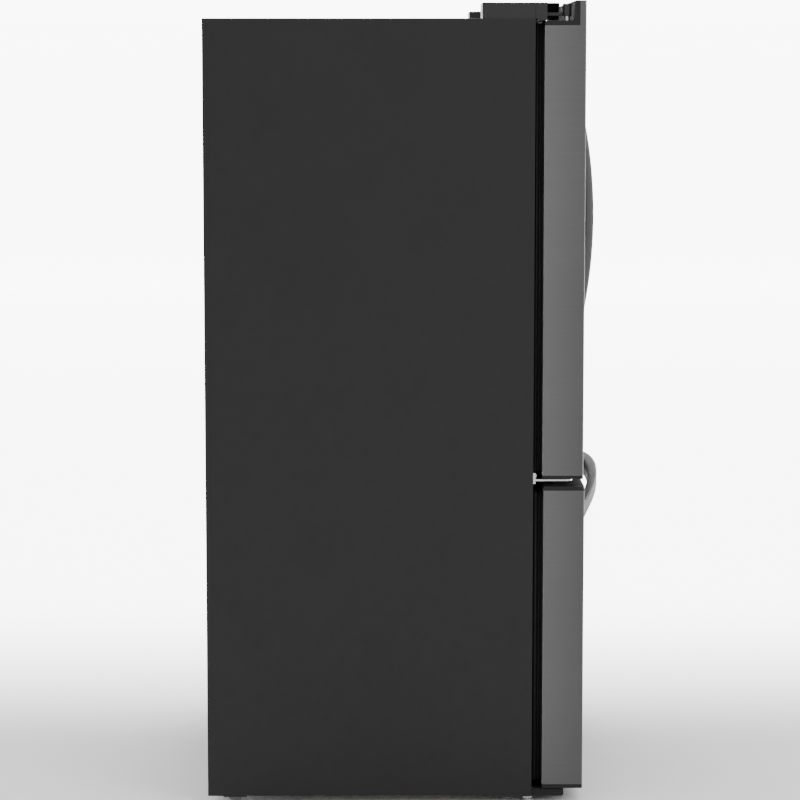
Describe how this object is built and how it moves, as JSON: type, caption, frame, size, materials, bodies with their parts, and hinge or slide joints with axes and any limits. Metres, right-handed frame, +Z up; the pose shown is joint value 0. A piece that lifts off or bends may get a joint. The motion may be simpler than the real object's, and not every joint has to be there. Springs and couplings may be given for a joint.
{
  "type": "french door refrigerator",
  "caption": "French door refrigerator with a bottom freezer drawer, dark brushed doors with bowed bar handles and a black case.",
  "frame": {"origin": "on the floor, at the middle of the object's box in X and Y", "axes": "+Z up, -Y towards the front where the doors and the drawer open, +X to the right as seen from the front"},
  "size_m": [0.908, 0.899, 1.783],
  "materials": {
    "cabinet_paint": "satin",
    "galvanised": "satin",
    "foam": "matte",
    "liner_white": "satin",
    "dark_stainless": "satin",
    "black_plastic": "matte",
    "cover_plastic": "matte",
    "gasket_rubber": "matte",
    "handle_metal": "satin",
    "shelf_glass": "gloss",
    "clear_bin": "gloss",
    "shelf_trim": "satin",
    "plated_steel": "gloss",
    "zinc_steel": "satin",
    "compressor_paint": "gloss",
    "coil_aluminium": "satin",
    "fan_plastic": "matte",
    "roller_nylon": "matte",
    "lamp_lens": "matte",
    "dark_steel": "satin",
    "touch_panel": "gloss",
    "mullion_paint": "satin",
    "slide_steel": "satin"
  },
  "bodies": {
    "cabinet": {"cabinet_wrapper": "cabinet_paint", "cabinet_back": "galvanised", "cabinet_foam": "foam", "fridge_liner": "liner_white", "freezer_liner": "liner_white", "cross_rails": "dark_steel", "kick_plate": "black_plastic", "base_pan": "zinc_steel", "machine_cover": "dark_steel", "cord_gland": "black_plastic", "compressor": "compressor_paint", "condenser": "coil_aluminium", "condenser_fan_mount": "black_plastic", "drain_pan": "black_plastic", "evaporator": "coil_aluminium", "evaporator_cover": "liner_white", "air_duct": "liner_white", "light_lens": "lamp_lens", "control_panel": "touch_panel", "shelf_frames": "shelf_trim", "shelf_panes": "shelf_glass", "slide_rails": "slide_steel", "base_rails": "zinc_steel", "top_hinges": "plated_steel", "hinge_covers": "cover_plastic", "centre_hinges": "plated_steel"},
    "left_door": {"left_door_skin": "dark_stainless", "left_door_caps": "black_plastic", "left_door_core": "foam", "left_door_liner": "liner_white", "left_door_gasket": "gasket_rubber", "left_door_handle": "handle_metal", "left_door_bins": "clear_bin"},
    "right_door": {"right_door_skin": "dark_stainless", "right_door_caps": "black_plastic", "right_door_core": "foam", "right_door_liner": "liner_white", "right_door_gasket": "gasket_rubber", "right_door_handle": "handle_metal", "right_door_bins": "clear_bin"},
    "mullion": {"mullion_bar": "mullion_paint"},
    "freezer_drawer": {"freezer_skin": "dark_stainless", "freezer_caps": "black_plastic", "freezer_core": "foam", "freezer_inner_panel": "liner_white", "freezer_gasket": "gasket_rubber", "freezer_handle": "handle_metal", "freezer_basket": "liner_white"},
    "drawer_slides": {"slide_members": "slide_steel"},
    "upper_freezer_basket": {"upper_basket": "clear_bin"},
    "left_crisper": {"crisper_left": "clear_bin"},
    "right_crisper": {"crisper_right": "clear_bin"},
    "condenser_fan_rotor": {"condenser_fan": "fan_plastic"},
    "evaporator_fan_rotor": {"evaporator_fan": "fan_plastic"},
    "front_roller_left": {"front_roller_left": "roller_nylon"},
    "front_roller_right": {"front_roller_right": "roller_nylon"},
    "rear_roller_left": {"rear_roller_left": "roller_nylon"},
    "rear_roller_right": {"rear_roller_right": "roller_nylon"},
    "leg_left": {"levelling_leg_left": "slide_steel"},
    "leg_right": {"levelling_leg_right": "slide_steel"}
  },
  "joints": [
    {"name": "left_door_hinge", "type": "hinge", "parent": "cabinet", "child": "left_door", "pos_m": [-0.428, -0.3455, 0.732], "axis": [0, 0, -1], "range_deg": [0, 120]},
    {"name": "right_door_hinge", "type": "hinge", "parent": "cabinet", "child": "right_door", "pos_m": [0.428, -0.3455, 0.732], "axis": [0, 0, 1], "range_deg": [0, 120]},
    {"name": "mullion_flip", "type": "hinge", "parent": "left_door", "child": "mullion", "pos_m": [-0.032, -0.2655, 0.798], "axis": [0, 0, -1], "range_deg": [0, 90]},
    {"name": "freezer_drawer_slide", "type": "slide", "parent": "cabinet", "child": "freezer_drawer", "axis": [0, -1, 0], "range_m": [0, 0.42]},
    {"name": "slide_member_travel", "type": "slide", "parent": "cabinet", "child": "drawer_slides", "axis": [0, -1, 0], "range_m": [0, 0.21]},
    {"name": "upper_basket_glide", "type": "slide", "parent": "cabinet", "child": "upper_freezer_basket", "axis": [0, -1, 0], "range_m": [0, 0.294]},
    {"name": "left_crisper_slide", "type": "slide", "parent": "cabinet", "child": "left_crisper", "axis": [0, -1, 0], "range_m": [0, 0.075]},
    {"name": "right_crisper_slide", "type": "slide", "parent": "cabinet", "child": "right_crisper", "axis": [0, -1, 0], "range_m": [0, 0.075]},
    {"name": "condenser_fan_spin", "type": "hinge", "parent": "cabinet", "child": "condenser_fan_rotor", "pos_m": [-0.02, 0.3015, 0.157], "axis": [0, 1, 0], "continuous": true},
    {"name": "evaporator_fan_spin", "type": "hinge", "parent": "cabinet", "child": "evaporator_fan_rotor", "pos_m": [0, 0.3135, 0.606], "axis": [0, 1, 0], "continuous": true},
    {"name": "front_roller_left_spin", "type": "hinge", "parent": "cabinet", "child": "front_roller_left", "pos_m": [-0.432, -0.2205, 0.017], "axis": [1, 0, 0], "continuous": true},
    {"name": "front_roller_right_spin", "type": "hinge", "parent": "cabinet", "child": "front_roller_right", "pos_m": [0.432, -0.2205, 0.017], "axis": [1, 0, 0], "continuous": true},
    {"name": "rear_roller_left_spin", "type": "hinge", "parent": "cabinet", "child": "rear_roller_left", "pos_m": [-0.432, 0.3895, 0.02], "axis": [1, 0, 0], "continuous": true},
    {"name": "rear_roller_right_spin", "type": "hinge", "parent": "cabinet", "child": "rear_roller_right", "pos_m": [0.432, 0.3895, 0.02], "axis": [1, 0, 0], "continuous": true},
    {"name": "leg_left_screw", "type": "slide", "parent": "cabinet", "child": "leg_left", "axis": [0, 0, 1], "range_m": [-0.012, 0.004]},
    {"name": "leg_right_screw", "type": "slide", "parent": "cabinet", "child": "leg_right", "axis": [0, 0, 1], "range_m": [-0.012, 0.004]}
  ],
  "couplings": [
    {"joint": "slide_member_travel", "follows": "freezer_drawer_slide", "ratio": 0.5},
    {"joint": "upper_basket_glide", "follows": "freezer_drawer_slide", "ratio": 0.7}
  ]
}
